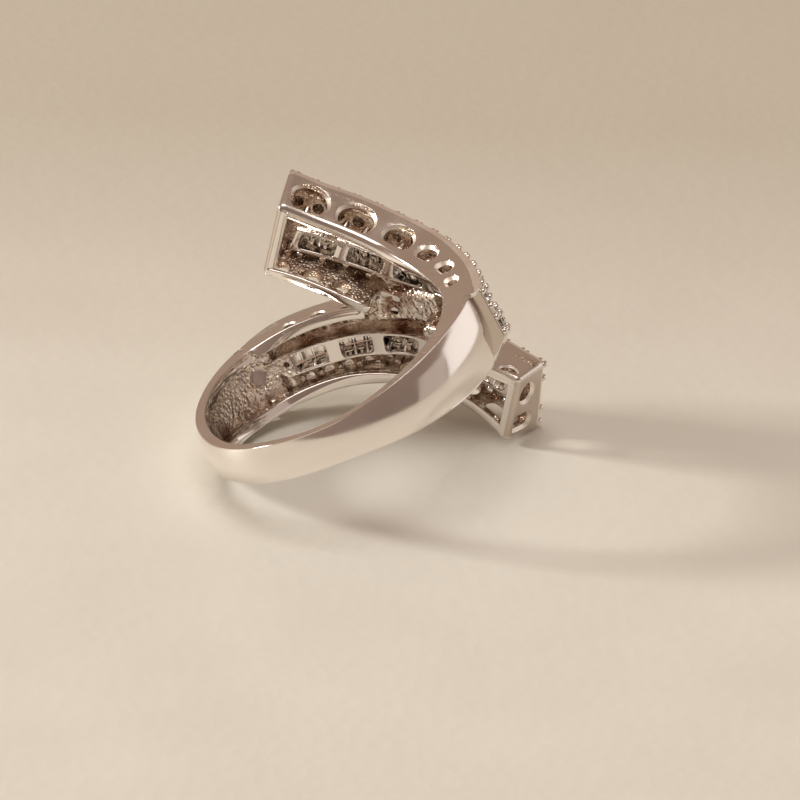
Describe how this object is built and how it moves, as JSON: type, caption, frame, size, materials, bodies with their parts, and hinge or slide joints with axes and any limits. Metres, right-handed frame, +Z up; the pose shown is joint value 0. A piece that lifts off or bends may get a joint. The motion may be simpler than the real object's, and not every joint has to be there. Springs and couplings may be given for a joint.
{
  "type": "crossover ring",
  "caption": "White metal finger ring with open-backed arms that pass each other over the finger, set with baguettes between rows of round stones.",
  "frame": {"origin": "on the surface that the ring lies on, below the middle of the ring's outline seen from above", "axes": "+Z up from the surface, +Y along the head of the ring as seen from above, +X to the right of it; the finger axis leans 28 degrees from Z"},
  "size_m": [0.0196, 0.023, 0.0159],
  "materials": {
    "white_metal": "mirror polished outside, as cast inside the hollows",
    "round_stones": "clear, facetted",
    "baguettes": "clear, facetted"
  },
  "bodies": {
    "root": {"band": "white_metal", "upper_arm_rounds": "round_stones", "lower_arm_rounds": "round_stones", "upper_arm_baguettes": "baguettes", "lower_arm_baguettes": "baguettes"}
  },
  "joints": []
}
